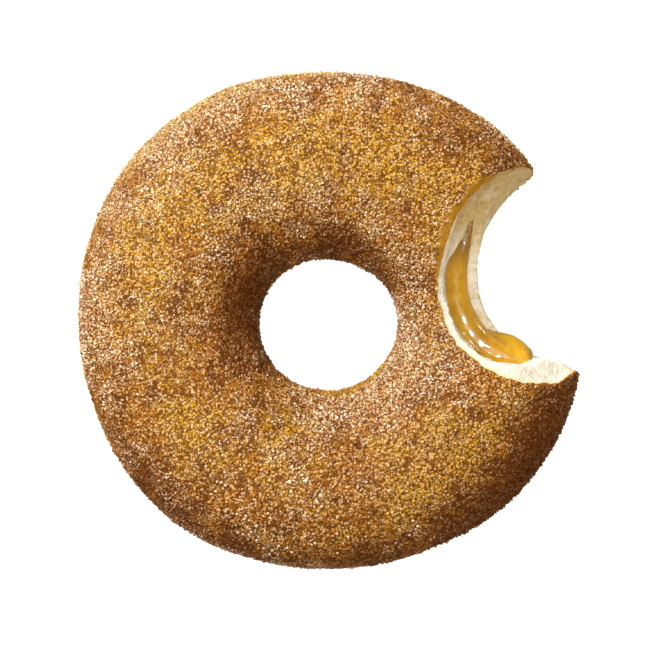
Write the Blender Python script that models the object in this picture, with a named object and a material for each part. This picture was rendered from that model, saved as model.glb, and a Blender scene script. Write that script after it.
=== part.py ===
"""A filled ring doughnut with one bite taken out of its side.

Run it with blender --background --python part.py, or from Blender's text editor. Metres, +Z up. The doughnut
lies on its underside on Z = 0, with the origin under the middle of its outline. The bite opens towards +X.

dough    the fried ring, solid but for the tunnel that its filling lies in, which opens in the bite
filling  the ring of filling in that tunnel, with the roll and the drop that are squeezed out at the bite
"""

import math

import bmesh
import bpy
from mathutils import Vector

# Ring
OUTER_RADIUS = 0.0480
HOLE_RADIUS = 0.0125
HOLE_SHIFT = Vector((-0.0004, -0.0009))
HEIGHT = 0.0300
SECTION_POWER = 2.25  # 2 is an ellipse, and more is squarer
SOLE_SINK = 0.0006  # how much of the rounded underside is pressed flat

# Filling
TUNNEL_RADIUS = 0.0276  # of the line that the filling follows round the ring
TUNNEL_SWAY = 0.0024  # how far that line wanders in and out
TUNNEL_HALF_WIDTH = 0.0066
TUNNEL_SWELL = 0.0026  # how much wider it is where that line is furthest out
TUNNEL_WIDEST_Z = 0.0122
TUNNEL_RISE = 0.0079  # above its widest height, where it is wide
TUNNEL_LEAST_RISE = 0.0016  # the same, where it is narrow
TUNNEL_FLAT_LOBE = -0.85  # the lobe's cosine up to which it stays that low
TUNNEL_FULL_LOBE = 0.2  # and from which it has its full height
TUNNEL_DEPTH = 0.0023  # below its widest height, so that the filling has pooled
TUNNEL_LOBES = 3  # the filling was pumped in at this many points
TUNNEL_LOBE_ANGLE = -12.0
FILLING_GAP = 0.0003  # all round, between the filling and the dough

# Bite, as a closed curve round BITE_CENTRE, wider at the crust on top than at the underside
BITE_CENTRE = Vector((0.0460, 0.0085))
BITE_TOP_RADIUS = 0.0224
BITE_FOOT_RADIUS = 0.0181
BITE_SLOPE_LOW = 0.003  # the wall leans between these two heights, and is upright beyond them
BITE_SLOPE_HIGH = 0.024
BITE_REACH = 0.006  # how far the cutter passes the dough above and below
FILLING_SUNK = 0.0009  # how far the filling's bitten face lies behind the dough's

# Roll of filling that bulges out of the bite, as its angle round BITE_CENTRE, from -X towards +Y, and its
# distance and radius there
ROLL = (
    (25, 0.0214, 0.0005),
    (2, 0.0223, 0.0020),
    (-17, 0.0223, 0.0024),
    (-36, 0.0212, 0.0026),
    (-57, 0.0185, 0.0018),
)
ROLL_Z = 0.0120

# Drop of filling on the lower end of the bite
DROP_ANGLE = -52.0  # round BITE_CENTRE, from -X towards +Y
DROP_DISTANCE = 0.0185
DROP_HALF_SIZES = Vector((0.0034, 0.0045, 0.0048))  # towards the bite, along its wall, up
DROP_MIDDLE_Z = 0.0122

# Unevenness, as waves round a circle: (how many, share of the radius, degrees of the first crest)
OUTER_WAVES = ((2, 0.0093, -14), (3, 0.0042, -2), (4, 0.0092, -42))
HOLE_WAVES = ((2, 0.035, 7), (3, 0.006, 10))
CROWN_WAVES = ((1, 0.012, 150), (2, 0.010, 60), (3, 0.008, 20))
BITE_TOP_WAVES = ((1, 0.108, -10), (2, 0.063, -4), (3, 0.023, 18), (4, 0.039, -31))
BITE_FOOT_WAVES = ((1, 0.043, 87), (2, 0.026, 56), (3, 0.025, -30))

# Facets
RING_STEPS = 80
SECTION_STEPS = 28
TUNNEL_STEPS = 64
TUNNEL_SECTION_STEPS = 14
BITE_STEPS = 72
BITE_LEVELS = 14
ROLL_STEPS = 20
ROLL_SIDES = 14
DROP_SEGMENTS = 20
DROP_RINGS = 12
SHARP_ANGLE = 40.0  # edges that turn by more than this are shaded sharp

# Looks
CRUST_BROWN = (0.46, 0.22, 0.06, 1)
CRUST_ROUGHNESS = 0.8
FILLING_AMBER = (0.62, 0.27, 0.01, 1)
FILLING_ROUGHNESS = 0.15


def clear_scene():
    """Removes every object of the startup scene."""
    for obj in list(bpy.data.objects):
        bpy.data.objects.remove(obj)


def make_material(name, colour, roughness):
    """A Principled material of one colour."""
    material = bpy.data.materials.new(name)
    material.use_nodes = True
    shader = material.node_tree.nodes["Principled BSDF"]
    shader.inputs["Base Color"].default_value = colour
    shader.inputs["Roughness"].default_value = roughness
    shader.inputs["Metallic"].default_value = 0
    return material


def around(waves, angle):
    """The factor by which a radius differs from its mean at an angle in radians."""
    return 1 + sum(share * math.cos(count * (angle - math.radians(crest))) for count, share, crest in waves)


def smooth_share(value, low, high):
    """0 below low and 1 above high, with a smooth S between them."""
    share = min(max((value - low) / (high - low), 0), 1)
    return share * share * (3 - 2 * share)


def signed_power(value, power):
    """value raised to a power, keeping its sign."""
    return math.copysign(abs(value) ** power, value)


def turn(angle):
    """The unit vector at an angle from +X, in plan."""
    return Vector((math.cos(angle), math.sin(angle)))


def dough_point(angle, lean):
    """A point of the ring's skin, at an angle round the ring and another round its section."""
    way = turn(angle)
    outer = OUTER_RADIUS * around(OUTER_WAVES, angle)
    inner = HOLE_RADIUS * around(HOLE_WAVES, angle) + HOLE_SHIFT.dot(way)
    across = signed_power(math.cos(lean), 2 / SECTION_POWER)
    up = signed_power(math.sin(lean), 2 / SECTION_POWER)
    radius = (outer + inner) / 2 + (outer - inner) / 2 * across
    middle = HEIGHT / 2
    if up > 0:
        z = middle + middle * around(CROWN_WAVES, angle) * up
    else:
        z = max(middle + (middle + SOLE_SINK) * up, 0)
    return Vector((*(way * radius), z))


def tunnel_point(angle, lean, grow=0.0):
    """A point of the filling's surface, moved outwards by grow."""
    lobes = math.cos(TUNNEL_LOBES * (angle - math.radians(TUNNEL_LOBE_ANGLE)))
    half_width = TUNNEL_HALF_WIDTH + TUNNEL_SWELL * lobes + grow
    taller = (TUNNEL_RISE - TUNNEL_LEAST_RISE) * smooth_share(lobes, TUNNEL_FLAT_LOBE, TUNNEL_FULL_LOBE)
    half_height = (TUNNEL_LEAST_RISE + taller if math.sin(lean) > 0 else TUNNEL_DEPTH) + grow
    radius = TUNNEL_RADIUS + TUNNEL_SWAY * lobes + half_width * math.cos(lean)
    return Vector((*(turn(angle) * radius), TUNNEL_WIDEST_Z + half_height * math.sin(lean)))


def bite_radius(angle, z):
    """How far the bite's wall is from BITE_CENTRE, at an angle from -X towards +Y and a height."""
    foot = BITE_FOOT_RADIUS * around(BITE_FOOT_WAVES, angle)
    top = BITE_TOP_RADIUS * around(BITE_TOP_WAVES, angle)
    return foot + (top - foot) * smooth_share(z, BITE_SLOPE_LOW, BITE_SLOPE_HIGH)


def bite_way(angle):
    """The unit vector from BITE_CENTRE at an angle from -X towards +Y, in plan."""
    return Vector((-math.cos(angle), math.sin(angle)))


def join_loops(mesh, loops, closed):
    """Skins equally long point loops with quads, and joins the last to the first if closed, or caps both."""
    rows = [[mesh.verts.new(point) for point in loop] for loop in loops]
    count = len(rows[0])
    for i in range(len(rows) if closed else len(rows) - 1):
        row, after = rows[i], rows[(i + 1) % len(rows)]
        for j in range(count):
            k = (j + 1) % count
            mesh.faces.new((row[j], after[j], after[k], row[k]))
    if not closed:
        mesh.faces.new(rows[0])
        mesh.faces.new(reversed(rows[-1]))


def object_from_loops(name, loops, closed):
    """An object skinned over point loops, with its faces pointing outwards."""
    mesh = bmesh.new()
    join_loops(mesh, loops, closed)
    bmesh.ops.recalc_face_normals(mesh, faces=mesh.faces)
    data = bpy.data.meshes.new(name)
    mesh.to_mesh(data)
    mesh.free()
    obj = bpy.data.objects.new(name, data)
    bpy.context.scene.collection.objects.link(obj)
    return obj


def ring_object(name, point_at, ring_steps, section_steps):
    """A closed ring whose surface point_at gives at an angle round the ring and one round the section."""
    loops = [
        [
            point_at(math.tau * i / ring_steps, math.tau * j / section_steps)
            for j in range(section_steps)
        ]
        for i in range(ring_steps)
    ]
    return object_from_loops(name, loops, closed=True)


def bite_cutter(name, deeper=0.0):
    """The space that the bite took, deeper into the dough by a distance."""
    low, high = -BITE_REACH, HEIGHT + BITE_REACH
    loops = []
    for i in range(BITE_LEVELS + 1):
        z = low + (high - low) * i / BITE_LEVELS
        loop = []
        for j in range(BITE_STEPS):
            angle = math.tau * j / BITE_STEPS
            place = BITE_CENTRE + bite_way(angle) * (bite_radius(angle, z) + deeper)
            loop.append(Vector((*place, z)))
        loops.append(loop)
    return as_helper(object_from_loops(name, loops, closed=False))


def as_helper(obj):
    """Marks an object as a tool that shapes others, which is no part of the model."""
    obj.hide_render = True
    obj.display_type = "WIRE"
    return obj


def use_boolean(obj, helper, operation):
    """Adds a Boolean modifier that takes helper from obj, or joins it."""
    modifier = obj.modifiers.new(f"{operation.title()} {helper.name}", "BOOLEAN")
    modifier.operation = operation
    modifier.solver = "EXACT"
    modifier.object = helper


def roll_at(angle):
    """How far the roll's middle is from BITE_CENTRE and its radius, at an angle in degrees."""
    for (first, *start), (last, *end) in zip(ROLL, ROLL[1:]):
        if angle >= last:
            share = smooth_share(angle, first, last)
            return [a + (b - a) * share for a, b in zip(start, end)]
    return end


def make_roll(name, grow=0.0):
    """The roll of filling along the bite, which tapers to its upper end, grown all round, as a helper."""
    loops = []
    for i in range(ROLL_STEPS + 1):
        angle = ROLL[0][0] + (ROLL[-1][0] - ROLL[0][0]) * i / ROLL_STEPS
        distance, radius = roll_at(angle)
        end = {0: grow, ROLL_STEPS: -grow}.get(i, 0)
        way = bite_way(math.radians(angle) + end / distance)
        loop = []
        for j in range(ROLL_SIDES):
            side = math.tau * j / ROLL_SIDES
            place = BITE_CENTRE + way * (distance + (radius + grow) * math.cos(side))
            loop.append(Vector((*place, ROLL_Z + (radius + grow) * math.sin(side))))
        loops.append(loop)
    return as_helper(object_from_loops(name, loops, closed=False))


def make_drop(name, grow=0.0):
    """The rounded drop of filling that hangs out of the bite, grown all round, as a helper."""
    mesh = bmesh.new()
    bmesh.ops.create_uvsphere(mesh, u_segments=DROP_SEGMENTS, v_segments=DROP_RINGS, radius=1)
    data = bpy.data.meshes.new(name)
    mesh.to_mesh(data)
    mesh.free()
    drop = bpy.data.objects.new(name, data)
    bpy.context.scene.collection.objects.link(drop)
    angle = math.radians(DROP_ANGLE)
    place = BITE_CENTRE + bite_way(angle) * DROP_DISTANCE
    drop.location = (*place, DROP_MIDDLE_Z)
    drop.rotation_euler.z = math.pi - angle
    drop.scale = DROP_HALF_SIZES + Vector((grow, grow, grow))
    return as_helper(drop)


def make_dough():
    """The ring, less the bite, the filling's tunnel and the places of its roll and drop."""
    dough = ring_object("dough", dough_point, RING_STEPS, SECTION_STEPS)
    tunnel = ring_object(
        "tunnel",
        lambda angle, lean: tunnel_point(angle, lean, FILLING_GAP),
        TUNNEL_STEPS,
        TUNNEL_SECTION_STEPS,
    )
    places = (make_roll("roll_place", FILLING_GAP), make_drop("drop_place", FILLING_GAP))
    for helper in (bite_cutter("bite"), as_helper(tunnel), *places):
        use_boolean(dough, helper, "DIFFERENCE")
    dough.data.materials.append(make_material("dough_crust", CRUST_BROWN, CRUST_ROUGHNESS))
    return dough


def make_filling():
    """The ring of filling, less the bite, with its roll and drop."""
    filling = ring_object("filling", tunnel_point, TUNNEL_STEPS, TUNNEL_SECTION_STEPS)
    use_boolean(filling, bite_cutter("bite_through_filling", FILLING_SUNK), "DIFFERENCE")
    for helper in (make_drop("drop"), make_roll("roll")):
        use_boolean(filling, helper, "UNION")
    filling.data.materials.append(make_material("filling_gel", FILLING_AMBER, FILLING_ROUGHNESS))
    return filling


def shade(obj):
    """Shades a piece smooth, but for its real edges."""
    obj.data.shade_smooth()
    obj.data.set_sharp_from_angle(angle=math.radians(SHARP_ANGLE))


def stand_over_origin(pieces):
    """Moves everything in plan so that the origin lies under the middle of the dough's outline."""
    bpy.context.view_layer.update()
    graph = bpy.context.evaluated_depsgraph_get()
    corners = [Vector(corner) for corner in pieces[0].evaluated_get(graph).bound_box]
    middle = [(min(c[k] for c in corners) + max(c[k] for c in corners)) / 2 for k in range(2)]
    for obj in bpy.data.objects:
        obj.location.x -= middle[0]
        obj.location.y -= middle[1]


def main():
    """Builds the doughnut."""
    clear_scene()
    pieces = [make_dough(), make_filling()]
    for piece in pieces:
        shade(piece)
    stand_over_origin(pieces)


main()
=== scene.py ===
"""Looks of a filled ring doughnut with one bite out of its side.

The doughnut lies on its underside. Its fried skin is coated with sugar and cinnamon. The bite shows the
pale crumb under a thin crust. The ring of fruit filling lies in the crumb and swells out of the bite.
"""

from __future__ import annotations

import logging
import math
from collections.abc import Callable, Sequence
from dataclasses import dataclass, field
from enum import Enum
from typing import ClassVar

import bpy
import numpy as np
import openvdb
from mathutils.bvhtree import BVHTree
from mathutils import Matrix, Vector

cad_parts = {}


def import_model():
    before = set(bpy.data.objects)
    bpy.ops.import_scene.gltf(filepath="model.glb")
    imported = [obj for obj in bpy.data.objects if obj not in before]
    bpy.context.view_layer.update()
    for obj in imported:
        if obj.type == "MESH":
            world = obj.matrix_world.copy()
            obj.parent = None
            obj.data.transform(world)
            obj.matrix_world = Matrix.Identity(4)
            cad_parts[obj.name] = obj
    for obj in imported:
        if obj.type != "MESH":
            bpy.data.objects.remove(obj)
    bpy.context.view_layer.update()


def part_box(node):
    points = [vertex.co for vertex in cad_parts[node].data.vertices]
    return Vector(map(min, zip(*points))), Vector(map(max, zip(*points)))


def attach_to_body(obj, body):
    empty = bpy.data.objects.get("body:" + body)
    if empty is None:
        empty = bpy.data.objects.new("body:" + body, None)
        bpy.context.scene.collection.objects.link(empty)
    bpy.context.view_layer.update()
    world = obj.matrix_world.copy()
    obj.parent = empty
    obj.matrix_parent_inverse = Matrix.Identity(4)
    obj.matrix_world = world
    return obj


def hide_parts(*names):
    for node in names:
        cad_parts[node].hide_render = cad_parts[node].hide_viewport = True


LOG = logging.getLogger("doughnut")
MM = 0.001
ORIGIN = (0.0, 0.0)


# --------------------------------------------------------------------------------------------------
# Unevenness


@dataclass(frozen=True)
class Wave:
    """A wave round a circle: its crests' number, their height as a share of the radius, and one's angle."""

    count: int
    share: float
    crest: float


@dataclass(frozen=True)
class WavyCircle:
    """A circle whose radius rises and falls in a few waves."""

    radius: float
    waves: tuple[Wave, ...]

    def at(self, angle: np.ndarray) -> np.ndarray:
        """The radius at each angle in radians."""
        rises = [wave.share * np.cos(wave.count * (angle - math.radians(wave.crest))) for wave in self.waves]
        return self.radius * (1 + sum(rises))


def smooth_share(value: np.ndarray, low: float, high: float) -> np.ndarray:
    """How far each value is from low to high, as a smooth S from 0 to 1.

    Args:
        value: The values.
        low: Where the share is 0.
        high: Where it is 1.

    Returns:
        One share for each value.
    """
    share = np.clip((value - low) / (high - low), 0, 1)
    return share * share * (3 - 2 * share)


def soft_larger(first: np.ndarray, second: np.ndarray, width: float) -> np.ndarray:
    """The larger of two values, rounded off where they are close.

    Args:
        first: The first.
        second: The second.
        width: How close they are where the rounding starts.

    Returns:
        One value for each pair.
    """
    share = np.clip(0.5 + 0.5 * (first - second) / width, 0, 1)
    return second + (first - second) * share + width * share * (1 - share)


@dataclass(frozen=True)
class Rise:
    """A smooth climb from 0 to 1 between two values."""

    low: float
    high: float

    def at(self, value: np.ndarray) -> np.ndarray:
        """How far up the climb each value is."""
        return smooth_share(value, self.low, self.high)


@dataclass(frozen=True)
class Band:
    """A stretch with soft ends: 1 between its rise and its fall, and 0 beyond them."""

    rise: Rise
    fall: Rise

    def at(self, value: np.ndarray) -> np.ndarray:
        """How far in the band each value is."""
        return self.rise.at(value) * (1 - self.fall.at(value))


def turn_and_distance(points: np.ndarray, middle: Sequence[float]) -> tuple[np.ndarray, np.ndarray]:
    """How points lie round an upright line.

    Args:
        points: Places in metres.
        middle: The x and y of the line.

    Returns:
        Their angles round it, in radians, and their distances from it.
    """
    x, y = points[..., 0] - middle[0], points[..., 1] - middle[1]
    return np.arctan2(y, x), np.hypot(x, y)


def points_round(
    middle: Sequence[float], angle: np.ndarray, distance: np.ndarray, z: np.ndarray
) -> np.ndarray:
    """The points at angles, distances and heights round an upright line through a middle."""
    return np.stack([middle[0] + distance * np.cos(angle), middle[1] + distance * np.sin(angle), z], axis=-1)


class Lumps:
    """Smooth random lumps through space, from a lattice of random heights."""

    SIDE = 32
    SHIFT = 1000.37
    OCTAVE_SHIFT = 0.013

    def __init__(self, seed: int) -> None:
        """Draws the lattice."""
        self.heights = np.random.default_rng(seed).uniform(-1, 1, (self.SIDE,) * 3)

    def at(self, points: np.ndarray, size: float) -> np.ndarray:
        """Reads the lumps at points.

        Args:
            points: Places in metres, with x, y and z along the last axis.
            size: The distance from one lump to the next, in metres.

        Returns:
            A height from -1 to 1 for each point.
        """
        scaled = points / size + self.SHIFT
        base = np.floor(scaled).astype(int)
        part = scaled - base
        part = part * part * part * (part * (part * 6 - 15) + 10)
        total = np.zeros(points.shape[:-1])
        for corner in np.ndindex(2, 2, 2):
            weight = np.ones(points.shape[:-1])
            for axis, step in enumerate(corner):
                weight = weight * (part[..., axis] if step else 1 - part[..., axis])
            place = tuple((base[..., axis] + step) % self.SIDE for axis, step in enumerate(corner))
            total += weight * self.heights[place]
        return total

    def rough(self, points: np.ndarray, size: float, octaves: int, fade: float = 0.5) -> np.ndarray:
        """Lumps with smaller lumps on them.

        Args:
            points: Places in metres.
            size: The size of the largest lumps.
            octaves: How many sizes there are, each half of the one before.
            fade: The height of each size as a share of the one before.

        Returns:
            A height of about -1 to 1 for each point.
        """
        total = np.zeros(points.shape[:-1])
        weight, reach = 1.0, 0.0
        for octave in range(octaves):
            total += weight * self.at(points + self.OCTAVE_SHIFT * octave, size / 2**octave)
            reach += weight
            weight *= fade
        return total / reach


class Pores:
    """Round gas pores scattered through space, one in each cell of a lattice."""

    SIDE = 24
    SHIFT = 500.21
    MIDDLES = (0.1, 0.9)
    RADII = (0.25, 0.62)

    def __init__(self, seed: int) -> None:
        """Draws each cell's pore.

        Args:
            seed: The seed of the random numbers.
        """
        random = np.random.default_rng(seed)
        self.centres = random.uniform(*self.MIDDLES, (self.SIDE,) * 3 + (3,))
        self.radii = random.uniform(*self.RADII, (self.SIDE,) * 3)

    def at(self, points: np.ndarray, size: float) -> np.ndarray:
        """How deep each point is in a pore.

        Args:
            points: Places in metres.
            size: The side of the lattice's cells, in metres.

        Returns:
            0 between the pores, rising to 1 at a pore's middle.
        """
        scaled = points / size + self.SHIFT
        base = np.floor(scaled).astype(int)
        depth = np.zeros(points.shape[:-1])
        for step in np.ndindex(3, 3, 3):
            cell = base + np.array(step) - 1
            place = tuple(cell[..., axis] % self.SIDE for axis in range(3))
            distance = np.linalg.norm(scaled - cell - self.centres[place], axis=-1)
            depth = np.maximum(depth, 1 - distance / self.radii[place])
        return depth


# --------------------------------------------------------------------------------------------------
# Shapes


@dataclass(frozen=True)
class RingShape:
    """The ring's smooth skin, before the bite."""

    EDGE_STEPS: ClassVar[int] = 2881
    SECTION_STEPS: ClassVar[int] = 4001
    outer: WavyCircle = WavyCircle(0.0480, (Wave(2, 0.0093, -14), Wave(3, 0.0042, -2), Wave(4, 0.0092, -42)))
    hole: WavyCircle = WavyCircle(0.0125, (Wave(2, 0.035, 7), Wave(3, 0.006, 10)))
    crown: WavyCircle = WavyCircle(0.0150, (Wave(1, 0.012, 150), Wave(2, 0.010, 60), Wave(3, 0.008, 20)))
    hole_shift: tuple[float, float] = (-0.0004, -0.0009)
    half_height: float = 0.0150
    power: float = 2.25
    sole_sink: float = 0.0006
    crest_distance: float = 30.2 * MM
    half_width: float = 17.7 * MM
    centre: tuple[float, float] = (0.0, 0.0)

    @classmethod
    def in_box(cls, low: Sequence[float]) -> RingShape:
        """The ring placed so that its left and front edges touch a box.

        Args:
            low: The box's lowest corner, in metres.

        Returns:
            The ring, with its centre set.
        """
        loose = cls()
        angles = np.linspace(0, math.tau, cls.EDGE_STEPS)
        edge = loose.point(angles, np.zeros_like(angles))
        return cls(centre=(low[0] - edge[:, 0].min(), low[1] - edge[:, 1].min()))

    def edges(self, angle: np.ndarray) -> tuple[np.ndarray, np.ndarray]:
        """The distances of the outer edge and of the hole's edge from the ring's middle."""
        hole = self.hole.at(angle) + self.hole_shift[0] * np.cos(angle) + self.hole_shift[1] * np.sin(angle)
        return self.outer.at(angle), hole

    def point(self, angle: np.ndarray, lean: np.ndarray) -> np.ndarray:
        """Points of the skin.

        Args:
            angle: Angles round the ring, in radians.
            lean: Angles round the section: 0 at the outer edge, a quarter turn at the crown.

        Returns:
            The points, with x, y and z along a new last axis.
        """
        outer, inner = self.edges(angle)
        across = np.sign(np.cos(lean)) * np.abs(np.cos(lean)) ** (2 / self.power)
        up = np.sign(np.sin(lean)) * np.abs(np.sin(lean)) ** (2 / self.power)
        radius = (outer + inner) / 2 + (outer - inner) / 2 * across
        above = self.half_height + self.crown.at(angle) * up
        below = np.maximum(self.half_height + (self.half_height + self.sole_sink) * up, 0)
        return points_round(self.centre, angle, radius, np.where(up > 0, above, below))

    def top_height(self, points: np.ndarray) -> np.ndarray:
        """How high the smooth skin lies over points.

        Args:
            points: Places in metres, whose own heights play no part.

        Returns:
            One height for each point.
        """
        angle, distance = turn_and_distance(points, self.centre)
        outer, inner = self.edges(angle)
        across = np.clip(np.abs(distance - (outer + inner) / 2) / ((outer - inner) / 2), 0, 1)
        return self.half_height + self.crown.at(angle) * (1 - across**self.power) ** (1 / self.power)

    def crown_share(self, points: np.ndarray) -> np.ndarray:
        """How far up the section points lie, from 0 at its sides to 1 at the crown."""
        _, distance = turn_and_distance(points, self.centre)
        return np.clip(1 - ((distance - self.crest_distance) / self.half_width) ** 2, 0, 1)

    def even_leans(self, count: int) -> np.ndarray:
        """Angles round the section that are evenly spaced along the skin.

        Args:
            count: How many.

        Returns:
            The angles, from 0 up to a full turn, which is left out.
        """
        fine = np.linspace(0, math.tau, self.SECTION_STEPS)
        path = self.point(np.full_like(fine, math.pi), fine)
        along = np.concatenate([[0], np.cumsum(np.linalg.norm(np.diff(path, axis=0), axis=1))])
        return np.interp(np.arange(count) / count * along[-1], along, fine)


@dataclass(frozen=True)
class BiteShape:
    """The space that the bite took: a wavy hollow, wider at the crust on top than at the underside.

    In the upper arm its wall is one smooth slope. From there to the drop the wall stands out in two steps: a
    sill under the filling, and a shelf of crumb close under the crust. The lower tip is a plain bevel. What
    changes along the wall goes by the angle round the bite's middle, in degrees from -X towards +Y.
    """

    middle: tuple[float, float]
    ring: RingShape
    top: WavyCircle = WavyCircle(
        0.0224, (Wave(1, 0.108, -10), Wave(2, 0.063, -4), Wave(3, 0.023, 18), Wave(4, 0.039, -31))
    )
    foot: WavyCircle = WavyCircle(0.0181, (Wave(1, 0.043, 87), Wave(2, 0.026, 56), Wave(3, 0.025, -30)))
    shift: tuple[float, float] = (0.0460, 0.0085)
    slope: Rise = Rise(0.003, 0.024)
    sill: Rise = Rise(0.0084, 0.0097)
    sill_width: float = 0.0019
    upper_slope: Rise = Rise(0.0097, 0.0186)
    shelf_width: float = 0.0011
    shelf_more_at_drop: float = 0.0004
    shelf_more_at_tip: float = 0.0014
    shelf_face: Rise = Rise(0.00072, 0.00162)
    tip_face: float = 0.0052
    tip_top_cut: float = 0.0028
    tip_foot_cut: float = 0.0013
    arm: Rise = Rise(12, 36)
    past_drop: Rise = Rise(-12, 5)
    past_tip: Rise = Rise(-58, -40)
    past_bevel: Rise = Rise(-69, -57)
    top_cut_rise: Rise = Rise(75, 92)
    foot_cut_rise: Rise = Rise(82, 93)
    far_side: float = -150.0

    @classmethod
    def in_ring(cls, ring: RingShape) -> BiteShape:
        """The bite at its place in the ring."""
        return cls(middle=(ring.centre[0] + cls.shift[0], ring.centre[1] + cls.shift[1]), ring=ring)

    def shelf_at(self, turned: np.ndarray) -> np.ndarray:
        """How far the shelf stands out under the crust, at angles in degrees."""
        at_drop = self.shelf_more_at_drop * (1 - self.past_drop.at(turned))
        return self.shelf_width + at_drop + self.shelf_more_at_tip * (1 - self.past_tip.at(turned))

    def wall(self, angle: np.ndarray, z: np.ndarray) -> np.ndarray:
        """The wall's distance from the bite's middle.

        Args:
            angle: Angles from -X towards +Y, in radians.
            z: Heights.

        Returns:
            The distances.
        """
        turned = np.degrees(np.angle(np.exp(1j * angle)))
        near_side = turned > self.far_side
        foot = self.foot.at(angle) + self.tip_foot_cut * self.foot_cut_rise.at(-turned) * near_side
        top = self.top.at(angle) - self.tip_top_cut * self.top_cut_rise.at(-turned) * near_side
        below_crust = self.ring.top_height(self.place(angle, top, z)) - z
        plain = foot + (top - foot) * self.slope.at(z)
        shelf = self.shelf_at(turned)
        steps = foot + self.sill_width * self.sill.at(z)
        steps += (top - shelf - foot - self.sill_width) * self.upper_slope.at(z)
        steps += shelf * (1 - self.shelf_face.at(below_crust))
        down = np.clip((below_crust - self.shelf_face.low) / self.tip_face, 0, 1)
        bevel = foot + (top - foot) * (1 - down)
        wall = plain + (1 - self.arm.at(turned)) * (steps - plain)
        return wall + (1 - self.past_bevel.at(turned)) * (bevel - wall)

    def polar(self, points: np.ndarray) -> tuple[np.ndarray, np.ndarray]:
        """Points as seen from the bite's middle.

        Args:
            points: Places in metres.

        Returns:
            Their angles from -X towards +Y, and their distances.
        """
        x = points[..., 0] - self.middle[0]
        y = points[..., 1] - self.middle[1]
        return np.arctan2(y, -x), np.hypot(x, y)

    def place(self, angle: np.ndarray, distance: np.ndarray, z: np.ndarray) -> np.ndarray:
        """The points at angles and distances from the bite's middle, and at heights.

        Args:
            angle: Angles from -X towards +Y, in radians.
            distance: Distances from the bite's middle.
            z: Heights.

        Returns:
            The points, with x, y and z along a new last axis.
        """
        x = self.middle[0] - distance * np.cos(angle)
        y = self.middle[1] + distance * np.sin(angle)
        return np.stack([x, y, z], axis=-1)

    def behind(self, points: np.ndarray) -> np.ndarray:
        """How far each point lies behind the wall, in the dough; negative in the bite."""
        angle, distance = self.polar(points)
        return distance - self.wall(angle, points[..., 2])


@dataclass(frozen=True)
class TunnelShape:
    """The ring-shaped tunnel that the filling lies in, wider and higher at a few places."""

    centre: tuple[float, float]
    radius: float = 0.0276
    sway: float = 0.0024
    half_width: float = 0.0066
    swell: float = 0.0026
    widest_z: float = 0.0122
    least_rise: float = 0.0016
    rise: float = 0.0079
    rise_round: Rise = Rise(-0.85, 0.2)
    depth: float = 0.0023
    lobes: int = 3
    lobe_angle: float = -12.0

    def lobe(self, angle: np.ndarray) -> np.ndarray:
        """1 where the tunnel is widest and furthest out, and -1 where it is narrowest."""
        return np.cos(self.lobes * (angle - math.radians(self.lobe_angle)))

    def rise_at(self, lobe: np.ndarray) -> np.ndarray:
        """How far the tunnel reaches above its widest height."""
        return self.least_rise + (self.rise - self.least_rise) * self.rise_round.at(lobe)

    def point(self, angle: np.ndarray, lean: np.ndarray, grow: float) -> np.ndarray:
        """Points of the tunnel's wall.

        Args:
            angle: Angles round the ring, in radians.
            lean: Angles round the section.
            grow: How far to move the wall outwards.

        Returns:
            The points.
        """
        lobe = self.lobe(angle)
        radius = self.radius + self.sway * lobe + (self.half_width + self.swell * lobe + grow) * np.cos(lean)
        height = np.where(np.sin(lean) > 0, self.rise_at(lobe), self.depth) + grow
        return points_round(self.centre, angle, radius, self.widest_z + height * np.sin(lean))

    def outside(self, points: np.ndarray) -> np.ndarray:
        """How far points lie outside the tunnel.

        Args:
            points: Places in metres.

        Returns:
            A distance for each point, negative inside the tunnel.
        """
        angle, distance = turn_and_distance(points, self.centre)
        lobe = self.lobe(angle)
        width = self.half_width + self.swell * lobe
        across = distance - self.radius - self.sway * lobe
        up = points[..., 2] - self.widest_z
        height = np.where(up > 0, self.rise_at(lobe), self.depth)
        scaled = np.hypot(across / width, up / height)
        steep = np.hypot(across / width**2, up / height**2)
        return scaled * (scaled - 1) / np.maximum(steep, 1e-6)


# --------------------------------------------------------------------------------------------------
# Meshes


def mesh_object(name: str, points: np.ndarray, faces: np.ndarray) -> bpy.types.Object:
    """Makes an object from points and faces that all have the same number of corners.

    Args:
        name: The object's name.
        points: One row for each point.
        faces: One row for each face, of its points' numbers.

    Returns:
        The object, linked into the scene.
    """
    data = bpy.data.meshes.new(name)
    data.vertices.add(len(points))
    data.vertices.foreach_set("co", np.ascontiguousarray(points, dtype=np.float32).ravel())
    corners = faces.shape[1]
    data.loops.add(faces.size)
    data.loops.foreach_set("vertex_index", np.ascontiguousarray(faces, dtype=np.int32).ravel())
    data.polygons.add(len(faces))
    data.polygons.foreach_set("loop_start", np.arange(0, faces.size, corners, dtype=np.int32))
    data.polygons.foreach_set("loop_total", np.full(len(faces), corners, dtype=np.int32))
    data.update(calc_edges=True)
    data.validate()
    obj = bpy.data.objects.new(name, data)
    bpy.context.scene.collection.objects.link(obj)
    return obj


def grid_faces(rows: int, columns: int, wrap_rows: bool) -> np.ndarray:
    """The quads of a grid of points whose columns close on themselves.

    Args:
        rows: How many rows of points.
        columns: How many points in each row.
        wrap_rows: Whether the last row joins the first.

    Returns:
        One row of four point numbers for each quad.
    """
    i, j = np.meshgrid(np.arange(rows if wrap_rows else rows - 1), np.arange(columns), indexing="ij")
    after, beside = (i + 1) % rows, (j + 1) % columns
    quads = [i * columns + j, after * columns + j, after * columns + beside, i * columns + beside]
    return np.stack([quad.ravel() for quad in quads], axis=-1)


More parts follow.
